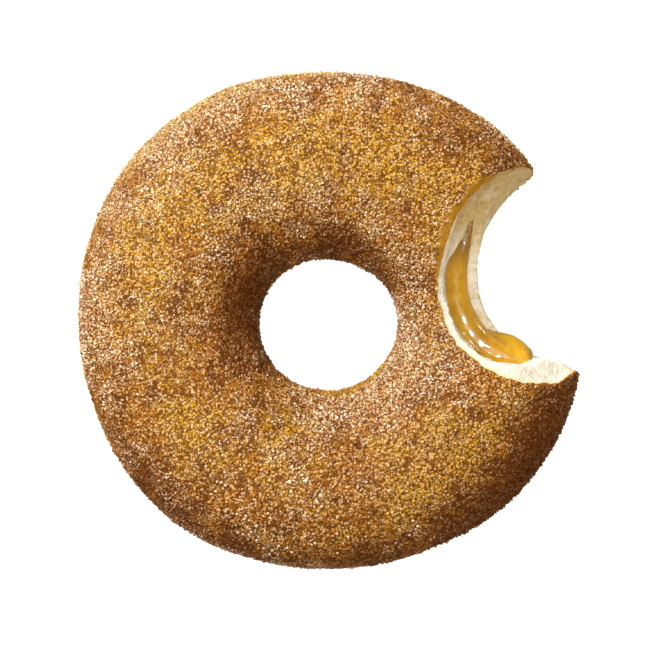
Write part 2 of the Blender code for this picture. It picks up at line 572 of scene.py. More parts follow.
def vertex_points(obj: bpy.types.Object) -> np.ndarray:
    """Reads the places of a mesh's points.

    Args:
        obj: The mesh object.

    Returns:
        One row for each point.
    """
    flat = np.empty(len(obj.data.vertices) * 3, dtype=np.float32)
    obj.data.vertices.foreach_get("co", flat)
    return flat.reshape(-1, 3).astype(float)


def paint_value(obj: bpy.types.Object, name: str, values: np.ndarray) -> None:
    """Stores one number for each point of a mesh, for its material to read.

    Args:
        obj: The mesh object.
        name: The stored numbers' name.
        values: One number for each point.
    """
    layer = obj.data.attributes.new(name, "FLOAT", "POINT")
    layer.data.foreach_set("value", np.ascontiguousarray(values, dtype=np.float32))


def paint_colour(obj: bpy.types.Object, name: str, colours: np.ndarray) -> None:
    """Stores one colour for each point of a mesh, for its material to read.

    Args:
        obj: The mesh object.
        name: The stored colours' name.
        colours: One row for each point.
    """
    layer = obj.data.attributes.new(name, "FLOAT_COLOR", "POINT")
    full = np.concatenate([colours, np.ones((len(colours), 1))], axis=1)
    layer.data.foreach_set("color", np.ascontiguousarray(full, dtype=np.float32).ravel())


def carve(obj: bpy.types.Object, cutters: Sequence[bpy.types.Object]) -> None:
    """Cuts closed cutters out of a closed mesh, and removes the cutters.

    Args:
        obj: The piece that is cut.
        cutters: What is taken from it, in order.
    """
    for cutter in cutters:
        modifier = obj.modifiers.new(cutter.name, "BOOLEAN")
        modifier.operation = "DIFFERENCE"
        modifier.solver = "MANIFOLD"
        modifier.object = cutter
    graph = bpy.context.evaluated_depsgraph_get()
    cut = bpy.data.meshes.new_from_object(obj.evaluated_get(graph))
    obj.modifiers.clear()
    obj.data = cut
    for cutter in cutters:
        bpy.data.objects.remove(cutter)


# --------------------------------------------------------------------------------------------------
# Finishes

Socket = bpy.types.NodeSocket
Colour = tuple[float, float, float]


class Graph:
    """The shader nodes of a material or of the room, made a node at a time."""

    def __init__(self, owner: bpy.types.Material | bpy.types.World) -> None:
        """Starts with the shader and output that a new material or world has.

        Args:
            owner: The material or world.
        """
        owner.use_nodes = True
        self.owner = owner
        self.tree = owner.node_tree

    @classmethod
    def of_material(cls, name: str) -> Graph:
        """Starts a new material."""
        return cls(bpy.data.materials.new(name))

    def node(
        self, kind: str, settings: dict[str, object] | None = None, **inputs: object
    ) -> bpy.types.Node:
        """Adds a node.

        Args:
            kind: The node's type, without its ShaderNode prefix.
            settings: Its own properties.
            **inputs: Its sockets, by name with _ for a space, each with a value or a socket to link from.

        Returns:
            The node.
        """
        node = self.tree.nodes.new(f"ShaderNode{kind}")
        for key, value in (settings or {}).items():
            setattr(node, key, value)
        for key, value in inputs.items():
            self.feed(node, key.replace("_", " "), value)
        return node

    def feed(self, node: bpy.types.Node, name: str | int, value: object) -> None:
        """Sets a node's socket to a value, or links it from another socket."""
        if isinstance(value, Socket):
            self.tree.links.new(value, node.inputs[name])
        else:
            node.inputs[name].default_value = value

    def place(self) -> Socket:
        """The object's own coordinates, in metres."""
        return self.node("TexCoord").outputs["Object"]

    def noise(
        self, size: float, detail: float = 2.0, roughness: float = 0.5, stretch: Colour | None = None
    ) -> Socket:
        """Soft random values.

        Args:
            size: The distance from one lump to the next, in metres.
            detail: How many smaller sizes are added.
            roughness: How strong those are.
            stretch: How close together the lumps are along x, y and z, as shares of 1.

        Returns:
            Values from 0 to 1.
        """
        place = self.place()
        if stretch is not None:
            place = self.node("VectorMath", {"operation": "MULTIPLY"}, Vector=place)
            place.inputs[1].default_value = stretch
            place = place.outputs[0]
        node = self.node("TexNoise", Vector=place, Scale=1 / size, Detail=detail, Roughness=roughness)
        return node.outputs["Fac"]

    def cells(self, size: float) -> tuple[Socket, Socket]:
        """Splits space into grains.

        Args:
            size: A grain's size, in metres.

        Returns:
            A random value for each grain, and the distance from its middle, which is about 0.6 at its rim.
        """
        node = self.node("TexVoronoi", Vector=self.place(), Scale=1 / size)
        parted = self.node("SeparateColor", Color=node.outputs["Color"])
        return parted.outputs["Red"], node.outputs["Distance"]

    def spread(self, value: Socket, rise: Rise, start: float = 0.0, end: float = 1.0) -> Socket:
        """Maps a rise's ends onto start and end, and holds beyond them.

        Args:
            value: The value to map.
            rise: The values that become start and end.
            start: The result at and before the rise's low end.
            end: The result at and past its high end.

        Returns:
            The mapped value.
        """
        settings = {"interpolation_type": "SMOOTHSTEP"}
        ends = {"From Min": rise.low, "From Max": rise.high, "To Min": start, "To Max": end}
        return self.node("MapRange", settings, Value=value, **ends).outputs["Result"]

    def calculate(self, operation: str, first: object, second: object = 0.0) -> Socket:
        """Combines two values.

        Args:
            operation: What is done with them, such as MULTIPLY.
            first: A number or a socket.
            second: Another.

        Returns:
            The result.
        """
        node = self.node("Math", {"operation": operation})
        self.feed(node, 0, first)
        self.feed(node, 1, second)
        return node.outputs[0]

    def blend(self, share: object, first: object, second: object, mode: str = "MIX") -> Socket:
        """Mixes two colours.

        Args:
            share: How much of the second.
            first: The first, as a colour or a socket.
            second: The second.
            mode: The way they are mixed.

        Returns:
            The mixed colour.
        """
        node = self.node("Mix", {"data_type": "RGBA", "blend_type": mode})
        self.feed(node, 0, share)
        self.feed(node, 6, (*first, 1.0) if isinstance(first, tuple) else first)
        self.feed(node, 7, (*second, 1.0) if isinstance(second, tuple) else second)
        return node.outputs[2]

    def times(self, first: object, second: object) -> Socket:
        """The product of two values."""
        return self.calculate("MULTIPLY", first, second)

    def rest(self, share: Socket) -> Socket:
        """What a share leaves of 1."""
        return self.calculate("SUBTRACT", 1.0, share)

    def stored(self, name: str) -> Socket:
        """A number stored on the mesh."""
        return self.node("Attribute", {"attribute_name": name}).outputs["Fac"]

    def stored_colour(self, name: str) -> Socket:
        """A colour stored on the mesh."""
        return self.node("Attribute", {"attribute_name": name}).outputs["Color"]

    def bump(self, height: Socket, depth: float, below: Socket | None = None) -> Socket:
        """A bumpy normal.

        Args:
            height: Values from 0 to 1.
            depth: The height of 1, in metres.
            below: A normal that is already bumpy.

        Returns:
            The normal.
        """
        node = self.node("Bump", Height=height, Distance=depth, Strength=1.0)
        if below is not None:
            self.feed(node, "Normal", below)
        return node.outputs["Normal"]

    def dress(self, **inputs: object) -> bpy.types.Material:
        """Sets the sockets of a material's shader.

        Args:
            **inputs: The sockets, by name with _ for a space, each with a value or a socket to link from.

        Returns:
            The finished material.
        """
        shader = self.tree.nodes["Principled BSDF"]
        for key, value in inputs.items():
            self.feed(shader, key.replace("_", " "), value)
        return self.owner


@dataclass(frozen=True)
class Patch:
    """A soft-edged part of the skin, with its middle's place in degrees round and metres from the origin.

    It spreads some degrees round the ring and reaches some metres across it.
    """

    azimuth: float
    distance: float
    spread: float
    reach: float
    strength: float


PATCH_RISE = Rise(5 * MM, 15 * MM)
PATCH_AT_FLOOR = 0.4


def patched(patches: Sequence[Patch], points: np.ndarray) -> np.ndarray:
    """How far points lie in patches, which fade down the sides.

    Args:
        patches: The patches.
        points: Places on the skin.

    Returns:
        A share from 0 to 1 for each point.
    """
    outside = np.ones(points.shape[:-1])
    angle, distance = turn_and_distance(points, ORIGIN)
    for patch in patches:
        turned = (np.degrees(angle) - patch.azimuth + 180) % 360 - 180
        far = (turned / patch.spread) ** 2 + ((distance - patch.distance) / patch.reach) ** 2
        outside = outside * (1 - patch.strength * np.exp(-far))
    return (1 - outside) * (PATCH_AT_FLOOR + (1 - PATCH_AT_FLOOR) * PATCH_RISE.at(points[..., 2]))


GOLDEN = (
    Patch(75, 30.3 * MM, 42, 8.0 * MM, 1.0),
    Patch(150, 34.0 * MM, 28, 5.0 * MM, 0.7),
    Patch(213, 32.0 * MM, 22, 7.0 * MM, 0.8),
    Patch(310, 36.0 * MM, 32, 6.0 * MM, 1.0),
    Patch(290, 13.6 * MM, 45, 1.2 * MM, 0.8),
)
BARE = (Patch(288, 13.0 * MM, 32, 0.8 * MM, 0.85),)
# Painted shade, partly: these dark patches lie mostly on the hole's inner slope towards the upper left and
# on the outer side towards the lower right, where shade falls away from the lamps; the browner crust there
# is partly real.
BROWNED_AND_SHADED = (
    Patch(168, 16.5 * MM, 42, 5.2 * MM, 1.0),
    Patch(80, 14.8 * MM, 42, 2.2 * MM, 0.7),
    Patch(24, 17.0 * MM, 15, 4.5 * MM, 0.15),
    Patch(240, 22.5 * MM, 20, 3.5 * MM, 0.25),
    Patch(325, 46.5 * MM, 34, 6.5 * MM, 1.0),
    Patch(228, 46.0 * MM, 20, 4.0 * MM, 0.6),
    Patch(272, 45.5 * MM, 26, 2.4 * MM, 0.4),
    Patch(48, 43.0 * MM, 20, 5.0 * MM, 0.35),
)
# Painted light, partly: these patches thicken and whiten the sugar, and several lie on the slopes that face
# the lamps, the outer slope towards the upper left and the hole's inner slope towards the lower right.
SUGARY_AND_LIT = (
    Patch(334, 18.0 * MM, 44, 5.0 * MM, 0.9),
    Patch(338, 24.0 * MM, 16, 3.5 * MM, 0.95),
    Patch(268, 18.0 * MM, 36, 4.5 * MM, 0.6),
    Patch(96, 23.5 * MM, 32, 4.0 * MM, 0.45),
    Patch(140, 43.5 * MM, 62, 3.6 * MM, 0.7),
    Patch(258, 47.5 * MM, 26, 1.5 * MM, 0.7),
)


@dataclass(frozen=True)
class CrustTones:
    """The colours of the fried skin, and where each of them lies."""

    gold: Colour = (0.50, 0.27, 0.022)
    orange: Colour = (0.38, 0.150, 0.012)
    brown: Colour = (0.13, 0.036, 0.004)
    belt: Colour = (0.74, 0.54, 0.22)
    golden: Rise = Rise(0.05, 0.75)
    golden_size: float = 8 * MM
    browned: Rise = Rise(0.0, 0.4)
    browned_size: float = 3 * MM
    browned_most: float = 0.85
    seed: int = 17

    def at(self, points: np.ndarray, crown: np.ndarray, belt: np.ndarray) -> np.ndarray:
        """The skin's colour at points.

        Args:
            points: Places on the skin.
            crown: How far up the section each lies, from 0 at its sides to 1 at the crown.
            belt: How far each lies in the pale belt.

        Returns:
            One colour for each point.
        """
        lumps = Lumps(self.seed)
        # Painted shade: the dark patches turn the skin browner and less golden where shade falls, together
        # with real browning.
        bright, dark = patched(GOLDEN, points), patched(BROWNED_AND_SHADED, points)
        clouds = lumps.rough(points, self.golden_size, 3, 0.6)
        golden = self.golden.at(0.4 * crown + 0.5 * bright - 0.4 * dark + 0.9 * clouds)[..., None]
        brownish = lumps.rough(points + 0.2, self.browned_size, 3, 0.65) - 0.25 * bright + 0.8 * dark
        browned = self.browned_most * self.browned.at(brownish)[..., None]
        colour = golden * self.gold + (1 - golden) * self.orange
        colour = colour + browned * (np.array(self.brown) - colour)
        return colour + belt[..., None] * (np.array(self.belt) - colour)


@dataclass(frozen=True)
class DoughFinish:
    """Fried skin with cinnamon dust, which turns to pale crumb within a few millimetres of depth."""

    dust: Colour = (0.10, 0.027, 0.003)
    fine_sugar: Colour = (0.64, 0.43, 0.19)
    glaze: Colour = (0.27, 0.120, 0.005)
    crust_line: Colour = (0.36, 0.14, 0.015)
    under_crust: Colour = (0.84, 0.66, 0.34)
    crumb: Colour = (0.97, 0.94, 0.82)
    # Painted shade on the brightly lit crumb high on the wall.
    shade_on_upper_crumb: Colour = (0.74, 0.725, 0.625)
    shade_and_speck_crumb: Colour = (0.76, 0.62, 0.27)
    # Painted shade: the colour in the crumb's pores, also used for its tan specks.
    pore: Colour = (0.60, 0.43, 0.17)
    # Filling juice and a painted contact shadow beside the filling.
    syrup_and_shadow: Colour = (0.30, 0.14, 0.02)
    grain_size: float = 0.42 * MM
    skin_depth: Rise = Rise(0.02, 0.10)
    line_depth: Rise = Rise(0.10, 0.26)
    under_crust_depth: Rise = Rise(0.18, 0.55)
    upper_crumb_shade_height: Rise = Rise(19.0, 23.0)

    def skin(self, graph: Graph, rim: Socket, speck: Socket, covered: Socket, light: Socket) -> Socket:
        """The fried skin with fine sugar and cinnamon dust on it.

        Args:
            graph: The material's nodes.
            rim: The distance from each fine grain's middle.
            speck: A random value for each fine grain.
            covered: How far the skin is coated.
            light: How far it is free of the dark patches, which are partly darker cinnamon crust and partly
                painted shade.

        Returns:
            Its colour.
        """
        glazed = graph.times(graph.stored("bare"), 0.85)
        skin = graph.blend(glazed, graph.stored_colour("fried"), self.glaze)
        dusty = graph.times(graph.spread(speck, Rise(0.45, 0.20), 0.0, 0.8), covered)
        skin = graph.blend(dusty, skin, self.dust)
        sugary = graph.times(graph.spread(speck, Rise(0.58, 0.85), 0.0, 0.9), covered)
        skin = graph.blend(graph.times(sugary, light), skin, self.fine_sugar)
        # Dust between the fine grains: partly real cinnamon dust, partly painted shade between them.
        dust_and_shade_between_grains = graph.times(graph.spread(rim, Rise(0.40, 0.62), 0.0, 0.7), covered)
        return graph.blend(dust_and_shade_between_grains, skin, self.dust)

    def bitten_crumb(self, graph: Graph) -> Socket:
        """The crumb's colour: yellower and coarser in the upper arm, which is painted shade, and in tan
        specks on the sill; darker in its pores and high on the wall, which is painted shade too.

        Args:
            graph: The material's nodes.

        Returns:
            Its colour.
        """
        shade_and_specks = graph.stored("shade_and_specks")
        # Painted shade: the crumb high on the wall, where the lamps light the shelf brightest, is darker.
        upper_crumb_shade = graph.spread(graph.stored("height"), self.upper_crumb_shade_height)
        crumb = graph.blend(shade_and_specks, graph.blend(upper_crumb_shade, self.crumb, self.shade_on_upper_crumb), self.shade_and_speck_crumb)
        coarse = graph.spread(shade_and_specks, Rise(0.0, 0.8), 0.22, 1.0)
        cloud = graph.spread(graph.noise(0.6 * MM, 4, 0.75), Rise(0.44, 0.70), 0.0, 0.85)
        fibre = graph.spread(graph.noise(0.9 * MM, 3, 0.6, (1.0, 1.0, 0.2)), Rise(0.46, 0.66), 0.0, 0.85)
        # Painted shade in the pores, with real tan specks from the cloud and fibre noise.
        hollow = graph.calculate("MAXIMUM", graph.times(graph.stored("pore"), 0.8), cloud)
        hollow = graph.times(graph.calculate("MAXIMUM", hollow, fibre), coarse)
        return graph.blend(hollow, crumb, self.pore)

    def relief(self, graph: Graph, grains: Socket) -> Socket:
        """The fine unevenness of the surface, with its grains of fine sugar.

        Args:
            graph: The material's nodes.
            grains: The heights of the grains of fine sugar.

        Returns:
            The uneven normal.
        """
        fine = graph.bump(grains, 0.16 * MM)
        fine = graph.bump(graph.noise(0.30 * MM, 3, 0.7), 0.08 * MM, fine)
        return graph.bump(graph.noise(1.6 * MM, 3, 0.6), 0.20 * MM, fine)

    def build(self) -> bpy.types.Material:
        """Makes the material, which reads the values stored on the dough's points.

        Returns:
            The material.
        """
        graph = Graph.of_material("dough")
        depth = graph.stored("depth")
        # Painted shade: the stored dark patches take fine sugar off the skin and darken its crust line where
        # shade falls.
        light = graph.rest(graph.stored("dark"))
        covered = graph.rest(graph.stored("bare"))
        speck, rim = graph.cells(self.grain_size)
        skin = self.skin(graph, rim, speck, covered, light)
        crumb = self.bitten_crumb(graph)
        under = graph.blend(graph.spread(depth, self.under_crust_depth), self.under_crust, crumb)
        line = graph.blend(light, self.dust, self.crust_line)
        inside = graph.blend(graph.spread(depth, self.line_depth), line, under)
        # Filling juice in the crumb and a painted contact shadow darken the crumb right beside the filling.
        inside = graph.blend(graph.times(graph.stored("soaked_and_shadow"), 0.8), inside, self.syrup_and_shadow)
        return graph.dress(
            Base_Color=graph.blend(graph.spread(depth, self.skin_depth), skin, inside),
            Roughness=graph.spread(depth, Rise(0.0, 0.5), 0.5, 0.85),
            Specular_IOR_Level=0.10,
            Normal=self.relief(graph, graph.times(graph.rest(rim), covered)),
            Subsurface_Weight=graph.spread(depth, Rise(0.1, 0.6), 0.0, 0.35),
            Subsurface_Radius=(1.0, 0.62, 0.32),
            Subsurface_Scale=1.0 * MM,
        )


@dataclass(frozen=True)
class FillingFinish:
    """Wet, clear fruit gel."""

    amber: Colour = (0.68, 0.40, 0.010)
    deep: Colour = (0.50, 0.26, 0.003)
    # Painted shade: the gel's upper tip, deep in the bite where shade falls.
    painted_tip_shade: Colour = (0.27, 0.14, 0.016)
    roughness: float = 0.36

    def build(self) -> bpy.types.Material:
        """Makes the material.

        Returns:
            The material.
        """
        graph = Graph.of_material("filling")
        cloud = graph.noise(3.0 * MM, 3, 0.55)
        colour = graph.blend(graph.spread(cloud, Rise(0.3, 0.7)), self.deep, self.amber)
        # Painted shade: the gel turns brown towards its upper tip (stored as thin), deep in the bite where
        # shade falls.
        colour = graph.blend(graph.stored("thin"), colour, self.painted_tip_shade)
        ripple = graph.bump(graph.noise(0.65 * MM, 1, 0.5), 0.033 * MM)
        return graph.dress(
            Base_Color=colour,
            Roughness=self.roughness,
            Normal=ripple,
            Subsurface_Weight=0.55,
            Subsurface_Radius=(1.0, 0.65, 0.12),
            Subsurface_Scale=1.4 * MM,
            Specular_IOR_Level=0.5,
            Coat_Weight=1.0,
            Coat_Roughness=0.04,
            Coat_IOR=1.7,
        )


@dataclass(frozen=True)
class CrystalFinish:
    """Sugar crystals or grains of cinnamon, each with its own colour stored on the mesh."""

    name: str
    roughness: float

    def build(self) -> bpy.types.Material:
        """Makes the material.

        Returns:
            The material.
        """
        graph = Graph.of_material(self.name)
        cloud = graph.spread(graph.noise(0.22 * MM, 2, 0.6), Rise(0.3, 0.7), 0.82, 1.12)
        shade = graph.node("CombineXYZ", X=cloud, Y=cloud, Z=cloud).outputs[0]
        colour = graph.blend(1.0, graph.stored_colour("tint"), shade, "MULTIPLY")
        return graph.dress(Base_Color=colour, Roughness=self.roughness, Specular_IOR_Level=0.16)


@dataclass(frozen=True)
class FloorFinish:
    """A white board lit from below by its own glow, which is dark only where the doughnut rests on it: a
    painted contact shadow, from ambient occlusion.
    """

    colour: Colour = (0.40, 0.36, 0.30)
    glow: float = 1.05
    glow_at_contact: float = 0.25
    bounce: float = 0.20
    reach: float = 7 * MM

    def build(self) -> bpy.types.Material:
        """Makes the material.

        Returns:
            The material.
        """
        graph = Graph.of_material("floor")
        fibre = graph.noise(2.0, 2, 0.5)
        tone = graph.blend(fibre, self.colour, tuple(0.99 * part for part in self.colour))
        clear = graph.node("AmbientOcclusion", {"samples": 16}, Distance=self.reach).outputs["AO"]
        glow = graph.spread(clear, Rise(0.12, 0.55), self.glow_at_contact, self.glow)
        direct = graph.node("LightPath").outputs["Is Camera Ray"]
        seen = graph.spread(direct, Rise(0.0, 1.0), self.bounce, 1.0)
        return graph.dress(
            Base_Color=tone,
            Roughness=0.9,
            Specular_IOR_Level=0.0,
            Emission_Color=(1.0, 1.0, 1.0, 1.0),
            Emission_Strength=graph.times(glow, seen),
        )


# --------------------------------------------------------------------------------------------------
# Dough


@dataclass
class Skin:
    """The fried skin as it really is: the ring's smooth shape with its swellings and wrinkles."""

    ring: RingShape
    bite: BiteShape
    swell_size: float = 13 * MM
    swell_height: float = 0.40 * MM
    wrinkle_size: float = 3.4 * MM
    wrinkle_height: float = 0.09 * MM
    coat_room: float = 0.34 * MM
    roll_width: float = 1.3 * MM
    roll_depth: float = 0.30 * MM
    above_sole: Rise = Rise(0.2 * MM, 3 * MM)
    fold_height: float = 0.11 * MM
    fold_width: float = 2.9 * MM
    fold_wander: float = 1.0 * MM
    fold_azimuths: Band = Band(Rise(45, 65), Rise(115, 140))
    fold_distances: Band = Band(Rise(34 * MM, 37 * MM), Rise(43 * MM, 45 * MM))
    belt_rise: float = 6.5 * MM
    belt_rise_azimuth: float = 128.0
    belt_rise_spread: float = 0.55
    belt_waver: float = 2.6 * MM
    belt_top: Rise = Rise(-0.8 * MM, 4.6 * MM)
    belt_bottom: Rise = Rise(-5.2 * MM, 0.2 * MM)
    belt_least: float = 0.3
    belt_most: float = 0.8
    belt_edge: Rise = Rise(40 * MM, 43 * MM)
    bare_beside: Band = Band(Rise(-10, 8), Rise(40, 58))
    bare_least: float = -0.1 * MM
    bare_width: float = 1.05 * MM
    bare_edge: Rise = Rise(-0.25 * MM, 0.35 * MM)
    tones: CrustTones = field(default_factory=CrustTones)
    lumps: Lumps = field(default_factory=lambda: Lumps(11))

    def smooth_normals(self, angle: np.ndarray, lean: np.ndarray) -> np.ndarray:
        """Finds the outward directions of the smooth ring.

        Args:
            angle: Angles round the ring, in radians.
            lean: Angles round the section.

        Returns:
            One unit vector for each pair of angles.
        """
        step = 0.002
        around = self.ring.point(angle + step, lean) - self.ring.point(angle - step, lean)
        section = self.ring.point(angle, lean + step) - self.ring.point(angle, lean - step)
        normal = np.cross(around, section)
        return normal / np.linalg.norm(normal, axis=-1, keepdims=True)

    def relief(self, points: np.ndarray) -> np.ndarray:
        """How far the skin stands out of the smooth ring.

        Args:
            points: Places on the smooth ring.

        Returns:
            A height for each point, in metres.
        """
        swell = self.swell_height * self.lumps.rough(points, self.swell_size, 2)
        wrinkle = self.wrinkle_height * (0.5 - np.abs(self.lumps.rough(points, self.wrinkle_size, 3)) * 2)
        roll = self.roll_depth * (1 - smooth_share(self.bite.behind(points), 0, self.roll_width)) ** 2
        free = self.above_sole.at(points[..., 2])
        return (swell + wrinkle + self.folds(points) - self.coat_room) * free - roll

    def folds(self, points: np.ndarray) -> np.ndarray:
        """The low folds that run round the outer shoulder over the upper arm.

        Args:
            points: Places on the smooth ring.

        Returns:
            A height for each point, in metres.
        """
        angle, distance = turn_and_distance(points, ORIGIN)
        height = self.fold_height * self.fold_azimuths.at(np.degrees(angle))
        height = height * self.fold_distances.at(distance)
        wander = self.fold_wander * self.lumps.at(points + 0.31, 9 * MM)
        return height * np.cos(math.tau * (distance + wander) / self.fold_width)

    def point(self, angle: np.ndarray, lean: np.ndarray) -> np.ndarray:
        """Points of the skin.

        Args:
            angle: Angles round the ring, in radians.
            lean: Angles round the section.

        Returns:
            The points, with x, y and z along a new last axis.
        """
        smooth = self.ring.point(angle, lean)
        raised = smooth + self.smooth_normals(angle, lean) * self.relief(smooth)[..., None]
        raised[..., 2] = np.maximum(raised[..., 2], 0)
        return raised

    def belt(self, points: np.ndarray) -> np.ndarray:
        """How far points lie in the pale belt round the outer side.

        Args:
            points: Places on the skin.

        Returns:
            A share from 0 to 1 for each point.
        """
        angle, distance = turn_and_distance(points, self.ring.centre)
        turned = np.angle(np.exp(1j * (angle - math.radians(self.belt_rise_azimuth))))
        rise = self.belt_rise * np.exp(-((turned / self.belt_rise_spread) ** 2))
        waver = self.belt_waver * self.lumps.rough(points * (1, 1, 0.1) + 0.7, 9 * MM, 4, 0.6)
        height = points[..., 2] - self.ring.half_height - waver
        inside = (1 - self.belt_top.at(height - rise)) * self.belt_bottom.at(height)
        whole = smooth_share(self.lumps.rough(points + 0.5, 5 * MM, 3), -0.3, 0.3)
        strength = self.belt_least + (self.belt_most - self.belt_least) * whole
        return np.maximum(strength, rise / self.belt_rise) * inside * self.belt_edge.at(distance)

    def colour(self, points: np.ndarray) -> np.ndarray:
        """The fried skin's colour at points."""
        return self.tones.at(points, self.ring.crown_share(points), self.belt(points))

    def bare(self, points: np.ndarray) -> np.ndarray:
        """How bare of sugar the skin is: most in a strip along the bite, and in patches.

        Args:
            points: Places on the skin.

        Returns:
            A share from 0 to 1 for each point.
        """
        angle, _ = self.bite.polar(points)
        width = self.bare_least + self.bare_width * self.bare_beside.at(np.degrees(angle))
        width = width * (1 + 0.8 * self.lumps.at(points + 0.9, 1.8 * MM))
        beside_bite = 1 - self.bare_edge.at(self.bite.behind(points) - width)
        return np.maximum(beside_bite, patched(BARE, points))


@dataclass
class Dough:
    """The bitten ring of dough."""

    skin: Skin
    tunnel: TunnelShape
    filling_outside: Callable[[np.ndarray], np.ndarray]
    finish: DoughFinish = field(default_factory=DoughFinish)
    section_steps: int = 130
    near_bite: tuple[float, float] = (-38.0, 70.0)
    near_steps: int = 200
    far_steps: int = 250
    wall_half_turn: float = 104.0
    wall_steps: int = 270
    wall_levels: int = 152
    wall_heights: tuple[float, float] = (-2 * MM, 35 * MM)
    open_steps: int = 16
    tunnel_steps: tuple[int, int] = (420, 60)
    tunnel_room: float = 0.2 * MM
    tear: float = 0.45 * MM
    tear_size: float = 2.8 * MM
    fray: float = 0.16 * MM
    fray_size: float = 0.8 * MM
    pore_hollow: float = 0.24 * MM
    pore_size: float = 1.3 * MM
    pore_clump_size: float = 2.5 * MM
    fine_pore_size: float = 0.55 * MM
    # Painted shade: the upper arm of the bite, whose crumb is yellowed.
    shade_beside: Rise = Rise(2, 34)
    speckled_beside: Rise = Rise(-55, -40)
    speckled_below: Rise = Rise(10 * MM, 12 * MM)
    soaked_and_shadow_beside: Rise = Rise(0.12 * MM, 0.45 * MM)
    front_rim: Rise = Rise(43.5 * MM, 46.5 * MM)
    crust_reach: float = 1.6 * MM
    tunnel_reach: float = 1.0 * MM
    rim_thinning: float = 0.75
    least_depth: float = 0.004
    sharp_angle: float = 62.0
    crumb: Lumps = field(default_factory=lambda: Lumps(29))
    pores: Pores = field(default_factory=lambda: Pores(31))

    def angles(self) -> np.ndarray:
        """Angles round the ring, closer together near the bite.

        Returns:
            The angles, in radians.
        """
        start, end = self.near_bite
        near = np.linspace(start, end, self.near_steps, endpoint=False)
        far = np.linspace(end, start + 360, self.far_steps, endpoint=False)
        return np.radians(np.concatenate([near, far]))

    def whole_ring(self) -> bpy.types.Object:
        """Makes the ring before the bite.

        Returns:
            The ring.
        """
        leans = self.skin.ring.even_leans(self.section_steps)
        angle, lean = np.meshgrid(self.angles(), leans, indexing="ij")
        faces = grid_faces(*angle.shape, wrap_rows=True)
        return mesh_object("dough_looks", self.skin.point(angle, lean).reshape(-1, 3), faces)

    def pore_depth(self, points: np.ndarray) -> np.ndarray:
        """How deep points of the bitten face lie in its pores.

        Args:
            points: Places in metres.

        Returns:
            A share from 0 to 1 for each point.
        """
        stretched = points * (1, 1, 0.8)
        clumped = self.crumb.at(points + 0.6, self.pore_clump_size) > 0.15
        large = self.pores.at(stretched, self.pore_size) * clumped
        small = self.pores.at(stretched + 0.2, self.fine_pore_size)
        return np.clip(np.maximum(large, 0.7 * small) * 1.4, 0, 1)

    def crumb_shade_and_specks(self, points: np.ndarray) -> np.ndarray:
        """How yellowed the crumb is: painted shade in the upper arm, whose wall faces away from the lamps,
        and real tan specks on the sill.

        Args:
            points: Places in metres.

        Returns:
            A share from 0 to 1 for each point.
        """
        angle, _ = self.skin.bite.polar(points)
        turned = np.degrees(angle)
        clouded = 0.75 + 0.8 * self.crumb.rough(points + 0.5, 3.0 * MM, 3, 0.6)
        arm = self.shade_beside.at(turned) * clouded
        sill = self.speckled_beside.at(turned) * (1 - self.speckled_below.at(points[..., 2]))
        specks = smooth_share(self.crumb.rough(points + 0.8, 1.3 * MM, 3, 0.7), -0.1, 0.3)
        return np.clip(np.maximum(arm, 0.45 * sill * specks), 0, 1)

    def bite_cutter(self) -> bpy.types.Object:
        """Makes the space of the bite, with a torn and porous wall towards the dough.

        Returns:
            The closed space.
        """
        half = math.radians(self.wall_half_turn)
        near = np.linspace(-half, half, self.wall_steps)
        far = np.linspace(half, math.tau - half, self.open_steps)[1:-1]
        levels = np.linspace(*self.wall_heights, self.wall_levels)
        z, angle = np.meshgrid(levels, np.concatenate([near, far]), indexing="ij")
        wall = self.skin.bite.wall(angle, z)
        points = self.skin.bite.place(angle, wall, z)
        wall = wall + self.tear * self.crumb.rough(points, self.tear_size, 3)
        wall = wall + self.fray * self.crumb.rough(points + 0.4, self.fray_size, 2)
        wall = wall + self.pore_hollow * self.pore_depth(points)
        points = self.skin.bite.place(angle, wall, z).reshape(-1, 3)
        rows, columns = angle.shape
        caps = []
        for row, order in ((0, 1), (rows - 1, -1)):
            tip = len(points)
            points = np.vstack([points, points[row * columns : (row + 1) * columns].mean(axis=0)])
            ring = row * columns + np.arange(columns)
            fan = np.stack([np.full(columns, tip), ring, np.roll(ring, -1)], axis=-1)
            caps.append(fan[:, ::order])
        quads = grid_faces(rows, columns, wrap_rows=False)
        sides = np.concatenate([quads[:, [0, 1, 2]], quads[:, [0, 2, 3]]])
        return mesh_object("bite_space", points, np.concatenate([sides, *caps]))

    def tunnel_cutter(self) -> bpy.types.Object:
        """Makes the space of the filling.

        Returns:
            The closed space.
        """
        turns = [np.linspace(0, math.tau, steps, endpoint=False) for steps in self.tunnel_steps]
        angle, lean = np.meshgrid(*turns, indexing="ij")
        points = self.tunnel.point(angle, lean, self.tunnel_room)
        outward = points - self.tunnel.point(angle, lean, -MM)
        outward /= np.linalg.norm(outward, axis=-1, keepdims=True)
        points = points + outward * (0.18 * MM * self.crumb.rough(points, 1.5 * MM, 2))[..., None]
        return mesh_object("filling_space", points.reshape(-1, 3), grid_faces(*angle.shape, wrap_rows=True))

    def depths(self, points: np.ndarray, skin_tree: BVHTree) -> np.ndarray:
        """How deep points lie under the fried skin.

        Args:
            points: The dough's points.
            skin_tree: The skin before the bite.

        Returns:
            Their depths in millimetres, where they are in the bite or in the tunnel, and 0 elsewhere.
        """
        depth = np.zeros(len(points))
        bitten = self.skin.bite.behind(points) < self.crust_reach
        for index in np.flatnonzero(bitten | (self.tunnel.outside(points) < self.tunnel_reach)):
            depth[index] = skin_tree.find_nearest(points[index])[3] / MM
        depth[depth < self.least_depth] = 0
        _, distance = turn_and_distance(points, ORIGIN)
        return depth * (1 - self.rim_thinning * self.front_rim.at(distance) * (points[:, 1] < 0))

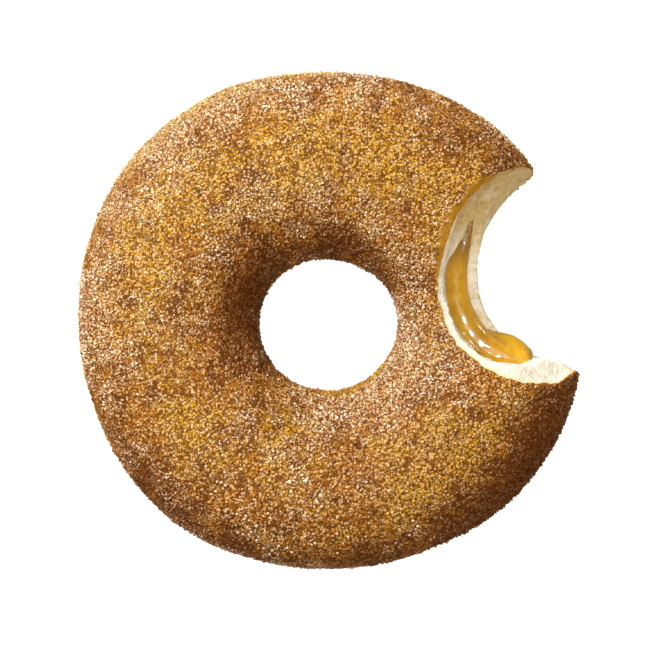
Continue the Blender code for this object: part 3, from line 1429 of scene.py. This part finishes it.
    def paint(self, dough: bpy.types.Object, skin_tree: BVHTree) -> None:
        """Stores what the material needs on the dough's points.

        Args:
            dough: The bitten dough.
            skin_tree: The skin before the bite.
        """
        points = vertex_points(dough)
        depth = self.depths(points, skin_tree)
        inner = depth > 0
        soaked_and_shadow = np.zeros(len(points))
        # Filling juice and painted contact shadow: the crumb right beside the filling.
        soaked_and_shadow[inner] = 1 - self.soaked_and_shadow_beside.at(self.filling_outside(points[inner]))
        paint_value(dough, "depth", depth)
        # The dark patches: browner crust and painted shade.
        paint_value(dough, "dark", 0.8 * patched(BROWNED_AND_SHADED, points))
        paint_value(dough, "soaked_and_shadow", soaked_and_shadow)
        paint_colour(dough, "fried", self.skin.colour(points))
        paint_value(dough, "bare", self.skin.bare(points))
        paint_value(dough, "pore", self.pore_depth(points) * inner)
        # Painted shade in the upper arm, and real tan specks on the sill.
        paint_value(dough, "shade_and_specks", self.crumb_shade_and_specks(points))
        paint_value(dough, "height", points[:, 2] / MM)

    def build(self) -> bpy.types.Object:
        """Makes the bitten dough.

        Returns:
            The dough.
        """
        dough = self.whole_ring()
        skin_tree = BVHTree.FromObject(dough, bpy.context.evaluated_depsgraph_get())
        carve(dough, [self.bite_cutter(), self.tunnel_cutter()])
        self.paint(dough, skin_tree)
        dough.data.materials.clear()
        dough.data.materials.append(self.finish.build())
        dough.data.shade_smooth()
        dough.data.set_sharp_from_angle(angle=math.radians(self.sharp_angle))
        return dough


# --------------------------------------------------------------------------------------------------
# Filling


@dataclass(frozen=True)
class Bead:
    """One ball of the filling's bulge.

    Its angle, in degrees from -X towards +Y, and its distance are round the bite's middle.
    """

    angle: float
    distance: float
    z: float
    radius: float


@dataclass
class Filling:
    """The ring of filling, bitten through, with the bulge along its bitten face that ends in a drop."""

    tunnel: TunnelShape
    bite: BiteShape
    finish: FillingFinish = field(default_factory=FillingFinish)
    cell: float = 0.34 * MM
    floor: float = 6.0 * MM
    ceiling: float = 21.5 * MM
    margin: float = 1.5 * MM
    fullness: float = 0.35 * MM
    sunk: float = 0.7 * MM
    sunk_at_drop: float = 0.4 * MM
    face_slant: float = 0.93
    past_drop: Rise = Rise(-58, -44)
    roundness: float = 0.9 * MM
    drop_roundness: float = 1.1 * MM
    lump_height: float = 0.06 * MM
    lump_size: float = 0.95 * MM
    tip_shade_beside: Rise = Rise(0, 15)
    crest: tuple[Bead, ...] = (
        Bead(27, 21.6 * MM, 13.3 * MM, 0.45 * MM),
        Bead(19, 21.2 * MM, 12.4 * MM, 0.90 * MM),
        Bead(11, 21.3 * MM, 11.8 * MM, 1.35 * MM),
        Bead(2, 22.0 * MM, 11.9 * MM, 2.05 * MM),
        Bead(-8, 22.4 * MM, 12.0 * MM, 2.35 * MM),
        Bead(-17, 22.4 * MM, 12.0 * MM, 2.45 * MM),
        Bead(-26, 22.1 * MM, 12.0 * MM, 2.55 * MM),
        Bead(-34, 21.7 * MM, 12.0 * MM, 2.60 * MM),
        Bead(-41, 21.0 * MM, 12.2 * MM, 2.45 * MM),
        Bead(-47, 20.4 * MM, 12.4 * MM, 2.20 * MM),
        Bead(-53, 19.4 * MM, 12.4 * MM, 2.10 * MM),
        Bead(-58, 18.5 * MM, 12.3 * MM, 1.85 * MM),
    )
    drop: tuple[Bead, ...] = (
        Bead(-36, 20.2 * MM, 10.5 * MM, 1.60 * MM),
        Bead(-42, 19.0 * MM, 10.4 * MM, 2.00 * MM),
        Bead(-48, 18.0 * MM, 10.4 * MM, 2.15 * MM),
        Bead(-54, 17.7 * MM, 10.5 * MM, 2.10 * MM),
        Bead(-59, 17.6 * MM, 10.6 * MM, 1.70 * MM),
    )
    lumps: Lumps = field(default_factory=lambda: Lumps(47))

    def row_outside(self, beads: Sequence[Bead], points: np.ndarray) -> np.ndarray:
        """How far points lie outside a row of beads, which are joined by cones.

        Args:
            beads: The beads, in order.
            points: Places in metres.

        Returns:
            A distance for each point, negative inside the row.
        """
        nearest = np.full(points.shape[:-1], 1.0)
        angles, distances, heights = np.array([(bead.angle, bead.distance, bead.z) for bead in beads]).T
        centres = self.bite.place(np.radians(angles), distances, heights)
        for index, (first, last) in enumerate(zip(beads, beads[1:], strict=False)):
            way = centres[index + 1] - centres[index]
            share = np.clip(((points - centres[index]) @ way) / (way @ way), 0, 1)
            gap = np.linalg.norm(points - centres[index] - share[..., None] * way, axis=-1)
            nearest = np.minimum(nearest, gap - first.radius - (last.radius - first.radius) * share)
        return nearest

    def outside(self, points: np.ndarray) -> np.ndarray:
        """How far points lie outside the filling.

        Args:
            points: Places in metres.

        Returns:
            A distance for each point, negative inside the filling.
        """
        angle, _ = self.bite.polar(points)
        sunk = self.sunk_at_drop + (self.sunk - self.sunk_at_drop) * self.past_drop.at(np.degrees(angle))
        before_face = (sunk - self.bite.behind(points)) * self.face_slant
        whole = soft_larger(self.tunnel.outside(points) - self.fullness, before_face, self.roundness)
        whole = -soft_larger(-whole, -self.row_outside(self.crest, points), self.roundness)
        whole = -soft_larger(-whole, -self.row_outside(self.drop, points), self.drop_roundness)
        near = np.abs(whole) < self.margin
        whole[near] += self.lump_height * self.lumps.rough(points[near], self.lump_size, 2)
        return whole

    def build(self) -> bpy.types.Object:
        """Makes the filling.

        Returns:
            The filling.
        """
        tunnel = self.tunnel
        reach = tunnel.radius + tunnel.sway + tunnel.half_width + tunnel.swell + self.margin
        low = np.array([tunnel.centre[0] - reach, tunnel.centre[1] - reach, self.floor])
        high = np.array([tunnel.centre[0] + reach, tunnel.centre[1] + reach, self.ceiling])
        axes = [np.arange(low[k], high[k], self.cell) for k in range(3)]
        outside = np.empty([len(axis) for axis in axes], dtype=np.float32)
        for index, x in enumerate(axes[0]):
            y, z = np.meshgrid(axes[1], axes[2], indexing="ij")
            outside[index] = self.outside(np.stack([np.full_like(y, x), y, z], axis=-1))
        grid = openvdb.FloatGrid(background=1.0)
        grid.copyFromArray(outside)
        points, quads = grid.convertToQuads(0.0)
        filling = mesh_object("filling_looks", points * self.cell + low, quads)
        angle, _ = self.bite.polar(vertex_points(filling))
        # Painted shade at the gel's upper tip, stored as thin.
        paint_value(filling, "thin", 0.85 * self.tip_shade_beside.at(np.degrees(angle)))
        filling.data.materials.append(self.finish.build())
        filling.data.shade_smooth()
        return filling


# --------------------------------------------------------------------------------------------------
# Sugar


class Grain(Enum):
    """The shapes of grain, each with its corners and its faces."""

    BLOCK = "block"
    SHARD = "shard"

    def corners(self) -> np.ndarray:
        """The corners of a grain about 2 across."""
        if self is Grain.BLOCK:
            return np.array([(x, y, z) for x in (-1, 1) for y in (-0.8, 0.8) for z in (-0.66, 0.66)])
        return np.array([(1.25, 0, 0), (-1.15, 0, 0), (0, 1, 0), (0, -1.05, 0), (0, 0, 0.95), (0, 0, -0.9)])

    def faces(self) -> np.ndarray:
        """The triangles, as rows of corner numbers."""
        if self is Grain.BLOCK:
            quads = [(0, 1, 3, 2), (4, 6, 7, 5), (0, 4, 5, 1), (2, 3, 7, 6), (0, 2, 6, 4), (1, 5, 7, 3)]
            return np.array([tri for a, b, c, d in quads for tri in ((a, b, c), (a, c, d))])
        return np.array(
            [(0, 2, 4), (2, 1, 4), (1, 3, 4), (3, 0, 4), (2, 0, 5), (1, 2, 5), (3, 1, 5), (0, 3, 5)]
        )


@dataclass(frozen=True)
class GrainKind:
    """One kind of grain in the coating, with its colours and the share of its grains that has each."""

    name: str
    shape: Grain
    spacing: float
    smallest: float
    largest: float
    palette: tuple[tuple[float, Colour], ...]
    clearness: float
    roughness: float
    seed: int
    keep: float = 0.85


@dataclass
class SugarCoat:
    """The sugar and cinnamon on the skin."""

    skin: Skin
    kinds: tuple[GrainKind, ...]
    fresh_and_lit_sugar: Colour = (0.84, 0.68, 0.55)
    stain: Colour = (0.60, 0.40, 0.28)
    # Painted shade: grains in the dark patches are tinted towards this colour, where shade falls.
    dark_stain_and_shade: Colour = (0.40, 0.17, 0.03)
    section_length: float = 104.5 * MM
    thickness_size: float = 4.5 * MM
    thickness_rise: Rise = Rise(-0.24, 0.24)
    cinnamon_size: float = 3.6 * MM
    cinnamon_rise: Rise = Rise(-0.08, 0.34)
    kept_where_thin: float = 0.40
    kept_where_thick: float = 1.20
    lost_on_belt: float = 0.75
    lost_where_bare: float = 0.97
    kept_at_sole: float = 0.35
    above_sole: Rise = Rise(0.3 * MM, 4 * MM)
    behind_edge: float = 0.05 * MM
    row_jitter: float = 0.55
    clear_range: tuple[float, float] = (0.5, 1.5)
    clear_on_gold: float = 0.25
    clear_on_belt: float = 0.6
    skin_through_grain: float = 1.3
    fresh_and_lit_share: float = 0.45
    fresh_and_lit_range: tuple[float, float] = (0.3, 1.0)
    stain_range: tuple[float, float] = (0.5, 1.0)
    dark_and_shade_range: tuple[float, float] = (0.6, 1.0)
    shade_range: tuple[float, float] = (0.62, 1.28)
    corner_range: tuple[float, float] = (0.72, 1.22)
    length_range: tuple[float, float] = (0.8, 1.15)
    lift_range: tuple[float, float] = (-0.25, 0.65)
    clumps: Lumps = field(default_factory=lambda: Lumps(53))

    def spots(self, kind: GrainKind, random: np.random.Generator) -> tuple[np.ndarray, np.ndarray]:
        """Where grains lie, as angles round the ring and round its section.

        Args:
            kind: The kind of grain.
            random: The source of chance.

        Returns:
            The two angles of each spot.
        """
        ring = self.skin.ring
        rows = int(self.section_length / kind.spacing)
        leans = ring.even_leans(rows)
        radii = ring.crest_distance + ring.half_width * np.cos(leans)
        angles, sections = [], []
        for row, (lean, radius) in enumerate(zip(leans, radii, strict=True)):
            count = max(int(math.tau * radius / kind.spacing), 8)
            gap = leans[(row + 1) % rows] - lean if row < rows - 1 else math.tau - lean
            jitter = random.uniform(-self.row_jitter, self.row_jitter, (2, count))
            angles.append((np.arange(count) + random.uniform() + jitter[0]) * math.tau / count)
            sections.append(lean + jitter[1] * gap)
        return np.concatenate(angles), np.concatenate(sections)

    def thickness(self, points: np.ndarray) -> np.ndarray:
        """How thick the sugar lies, in patches.

        Args:
            points: Places on the skin.

        Returns:
            A share from 0 to 1 for each point.
        """
        # Painted shade and light, in part: fewer grains stay in the dark patches, and more in the sugary
        # patches, some of which lie on the lit slopes.
        more = 0.6 * patched(SUGARY_AND_LIT, points) - 0.42 * patched(GOLDEN, points) - 0.35 * patched(BROWNED_AND_SHADED, points)
        return self.thickness_rise.at(1.15 * self.clumps.rough(points, self.thickness_size, 4, 0.7) + more)

    def cinnamon(self, points: np.ndarray) -> np.ndarray:
        """How much cinnamon lies in the sugar, in patches.

        Args:
            points: Places on the skin.

        Returns:
            A share from 0 to 1 for each point.
        """
        # Painted shade, in part: grains in the dark patches get more cinnamon stain.
        more = 0.5 * patched(BROWNED_AND_SHADED, points) - 0.08 * patched(GOLDEN, points)
        clumps = self.clumps.rough(points + 0.3, self.cinnamon_size, 4, 0.7)
        return self.cinnamon_rise.at(1.15 * clumps + more)

    def kept(self, kind: GrainKind, points: np.ndarray, random: np.random.Generator) -> np.ndarray:
        """Which grains stay on the skin.

        Args:
            kind: The kind of grain.
            points: The grains' places.
            random: The source of chance.

        Returns:
            True for each one that stays.
        """
        more = (self.kept_where_thick - self.kept_where_thin) * self.thickness(points)
        chance = kind.keep * (self.kept_where_thin + more)
        chance *= 1 - self.lost_on_belt * self.skin.belt(points)
        chance *= 1 - self.lost_where_bare * self.skin.bare(points)
        chance *= self.kept_at_sole + (1 - self.kept_at_sole) * self.above_sole.at(points[:, 2])
        on_skin = self.skin.bite.behind(points) > self.behind_edge
        return (random.uniform(size=len(points)) < chance) & on_skin

    def tints(self, kind: GrainKind, points: np.ndarray, random: np.random.Generator) -> np.ndarray:
        """The colour of each grain.

        Args:
            kind: The kind of grain.
            points: The grains' places.
            random: The source of chance.

        Returns:
            One colour for each grain.
        """
        shares = np.array([share for share, _ in kind.palette])
        picks = random.choice(len(shares), size=len(points), p=shares / shares.sum())
        own = np.array([colour for _, colour in kind.palette])[picks]
        one_each = (len(points), 1)
        thin = 1 - self.thickness(points)[:, None]
        clear = kind.clearness * (0.12 + 2.3 * thin) * random.uniform(*self.clear_range, one_each)
        clear += self.clear_on_gold * patched(GOLDEN, points)[:, None]
        clear = np.clip(clear + self.clear_on_belt * self.skin.belt(points)[:, None], 0, 1)
        # Painted light, partly: grains in the sugary patches, several of them on the slopes that face the
        # lamps, are whitened.
        sugary = self.fresh_and_lit_share * patched(SUGARY_AND_LIT, points)[:, None]
        own = own + sugary * random.uniform(*self.fresh_and_lit_range, one_each) * (np.array(self.fresh_and_lit_sugar) - own)
        colours = own + clear * (self.skin_through_grain * self.skin.colour(points) - own)
        stained = self.cinnamon(points)[:, None] * random.uniform(*self.stain_range, one_each)
        colours *= 1 - stained * (1 - np.array(self.stain))
        # Painted shade: grains in the dark patches are darkened where shade falls.
        dark = patched(BROWNED_AND_SHADED, points)[:, None] * random.uniform(*self.dark_and_shade_range, one_each)
        colours *= 1 - dark * (1 - np.array(self.dark_stain_and_shade))
        return np.clip(colours * random.uniform(*self.shade_range, one_each), 0, 1)

    def build(self, kind: GrainKind) -> bpy.types.Object:
        """Makes all grains of one kind as one mesh.

        Args:
            kind: The kind of grain.

        Returns:
            The grains.
        """
        random = np.random.default_rng(kind.seed)
        angle, lean = self.spots(kind, random)
        places = self.skin.point(angle, lean)
        keep = self.kept(kind, places, random)
        angle, lean, places = angle[keep], lean[keep], places[keep]
        normals = self.skin.smooth_normals(angle, lean)
        count = len(places)
        halves = random.uniform(kind.smallest, kind.largest, (count, 1, 1)) / 2
        plain = kind.shape.corners()[None]
        shape = plain * random.uniform(*self.corner_range, (count, *plain.shape[1:]))
        shape = shape * random.uniform(*self.length_range, (count, 1, 3)) * halves
        turned = np.einsum("nij,nkj->nki", random_turns(count, random), shape)
        lift = halves[:, :, 0] * random.uniform(*self.lift_range, (count, 1))
        centres = places + normals * lift
        centres[:, 2] = np.maximum(centres[:, 2], halves[:, 0, 0] * 0.8)
        points = turned + centres[:, None]
        points[..., 2] = np.maximum(points[..., 2], 0)
        corners = points.shape[1]
        faces = kind.shape.faces()[None] + np.arange(count)[:, None, None] * corners
        grains = mesh_object(kind.name, points.reshape(-1, 3), faces.reshape(-1, 3))
        paint_colour(grains, "tint", np.repeat(self.tints(kind, places, random), corners, axis=0))
        grains.data.materials.append(CrystalFinish(kind.name, kind.roughness).build())
        return grains


def random_turns(count: int, random: np.random.Generator) -> np.ndarray:
    """Rotation matrices spread evenly over all turns.

    Args:
        count: How many.
        random: The source of chance.

    Returns:
        The 3 by 3 matrices.
    """
    q = random.normal(size=(count, 4))
    w, x, y, z = (q / np.linalg.norm(q, axis=1, keepdims=True)).T
    rows = [
        [1 - 2 * (y * y + z * z), 2 * (x * y - w * z), 2 * (x * z + w * y)],
        [2 * (x * y + w * z), 1 - 2 * (x * x + z * z), 2 * (y * z - w * x)],
        [2 * (x * z - w * y), 2 * (y * z + w * x), 1 - 2 * (x * x + y * y)],
    ]
    return np.moveaxis(np.array(rows), -1, 0)


WHITE = (0.82, 0.66, 0.47)
HONEY = (0.60, 0.37, 0.13)
TAN = (0.40, 0.205, 0.065)
CINNAMON = (0.17, 0.050, 0.008)
BARK = (0.05, 0.016, 0.004)

KINDS = (
    GrainKind(
        name="sugar_blocks",
        shape=Grain.BLOCK,
        spacing=0.98 * MM,
        smallest=0.36 * MM,
        largest=0.56 * MM,
        palette=((0.62, WHITE), (0.23, HONEY), (0.15, TAN)),
        clearness=0.35,
        roughness=0.25,
        seed=101,
    ),
    GrainKind(
        name="sugar_shards",
        shape=Grain.SHARD,
        spacing=0.76 * MM,
        smallest=0.30 * MM,
        largest=0.50 * MM,
        palette=((0.55, WHITE), (0.25, HONEY), (0.2, TAN)),
        clearness=0.4,
        roughness=0.25,
        seed=102,
    ),
    GrainKind(
        name="sugar_fines",
        shape=Grain.SHARD,
        spacing=0.68 * MM,
        smallest=0.20 * MM,
        largest=0.36 * MM,
        palette=((0.5, WHITE), (0.25, HONEY), (0.25, TAN)),
        clearness=0.4,
        roughness=0.3,
        seed=103,
    ),
    GrainKind(
        name="cinnamon_sugar",
        shape=Grain.SHARD,
        spacing=0.84 * MM,
        smallest=0.26 * MM,
        largest=0.44 * MM,
        palette=((0.15, HONEY), (0.32, TAN), (0.38, CINNAMON), (0.15, BARK)),
        clearness=0.3,
        roughness=0.5,
        seed=104,
    ),
)


# --------------------------------------------------------------------------------------------------
# Studio


@dataclass(frozen=True)
class Lamp:
    """A soft square lamp that faces the doughnut."""

    name: str
    azimuth: float
    elevation: float
    distance: float
    side: float
    power: float

    def hang(self, centre: Sequence[float]) -> None:
        """Hangs the lamp so that it faces the doughnut.

        Args:
            centre: The doughnut's middle, as x and y.
        """
        data = bpy.data.lights.new(self.name, "AREA")
        data.size = self.side
        data.energy = self.power
        azimuth, elevation = math.radians(self.azimuth), math.radians(self.elevation)
        flat, height = self.distance * math.cos(elevation), self.distance * math.sin(elevation)
        obj = bpy.data.objects.new(self.name, data)
        obj.location = (centre[0] + flat * math.cos(azimuth), centre[1] + flat * math.sin(azimuth), height)
        obj.rotation_euler = (0, math.pi / 2 - elevation, azimuth)
        bpy.context.scene.collection.objects.link(obj)


@dataclass
class Studio:
    """The white floor, the lamps and the camera."""

    ring: RingShape
    floor_finish: FloorFinish = field(default_factory=FloorFinish)
    floor_side: float = 4.0
    lens: float = 200.0
    sensor: float = 36.0
    view_width: float = 0.12305
    view_shift: tuple[float, float] = (-0.00099, -0.00099)
    sky: Colour = (0.30, 0.195, 0.095)
    bounce: Colour = (0.48, 0.32, 0.15)
    backdrop: Colour = (1.05, 1.05, 1.05)
    horizon: Rise = Rise(-0.10, 0.20)
    lamps: tuple[Lamp, ...] = (
        Lamp("key_lamp", 134, 41, 0.9, 0.26, 10.7),
        Lamp("top_lamp", 110, 87, 0.9, 0.15, 4.8),
        Lamp("rim_lamp", 40, 8, 0.9, 0.12, 0.7),
    )

    def floor(self) -> None:
        """Lays the floor."""
        half = self.floor_side / 2
        points = np.array([(-half, -half, 0), (half, -half, 0), (half, half, 0), (-half, half, 0)])
        floor = mesh_object("floor", points, np.array([(0, 1, 2, 3)]))
        floor.data.materials.append(self.floor_finish.build())
        floor.visible_glossy = False

    def room(self) -> None:
        """Surrounds the doughnut with a dim warm room that looks white to the camera."""
        graph = Graph(bpy.data.worlds.new("room"))
        way = graph.node("TexCoord").outputs["Generated"]
        height = graph.node("SeparateXYZ", Vector=way).outputs["Z"]
        ends = {"From Min": self.horizon.low, "From Max": self.horizon.high}
        share = graph.node("MapRange", Value=height, **ends).outputs["Result"]
        warm = graph.blend(share, self.bounce, self.sky)
        direct = graph.node("LightPath").outputs["Is Camera Ray"]
        colour = graph.blend(direct, warm, self.backdrop)
        graph.feed(graph.tree.nodes["Background"], "Color", colour)
        bpy.context.scene.world = graph.owner

    def camera(self) -> None:
        """Hangs the camera straight above the doughnut."""
        data = bpy.data.cameras.new("camera")
        data.lens = self.lens
        data.sensor_width = self.sensor
        data.clip_start = 0.05
        data.clip_end = 20
        obj = bpy.data.objects.new("camera", data)
        obj.location = (
            self.ring.centre[0] + self.view_shift[0],
            self.ring.centre[1] + self.view_shift[1],
            self.ring.half_height + self.view_width * self.lens / self.sensor,
        )
        bpy.context.scene.collection.objects.link(obj)
        bpy.context.scene.camera = obj
        bpy.context.scene.view_settings.view_transform = "Standard"

    def build(self) -> None:
        """Sets up the whole studio."""
        self.floor()
        for lamp in self.lamps:
            lamp.hang(self.ring.centre)
        self.room()
        self.camera()


def attach(piece: bpy.types.Object, slot: str, *nodes: str) -> None:
    """Fixes a finished piece to the doughnut's one body.

    Args:
        piece: The piece.
        slot: The material slot of the record that it belongs to; not used.
        *nodes: The plain solids that it stands for.
    """
    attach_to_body(piece, "root")
    if nodes:
        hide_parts(*nodes)
    LOG.info("%s: %d faces", piece.name, len(piece.data.polygons))


def main() -> None:
    """Builds the doughnut's looks and the studio."""
    logging.basicConfig(level=logging.INFO, format="%(message)s")
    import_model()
    ring = RingShape.in_box(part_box("dough")[0])
    bite = BiteShape.in_ring(ring)
    tunnel = TunnelShape(ring.centre)
    skin = Skin(ring, bite)
    filling = Filling(tunnel, bite)
    attach(Dough(skin, tunnel, filling.outside).build(), "crust", "dough")
    attach(filling.build(), "filling", "filling")
    coat = SugarCoat(skin, KINDS)
    for kind in coat.kinds:
        attach(coat.build(kind), "crust")
    Studio(ring).build()


if __name__ == "__main__":
    main()
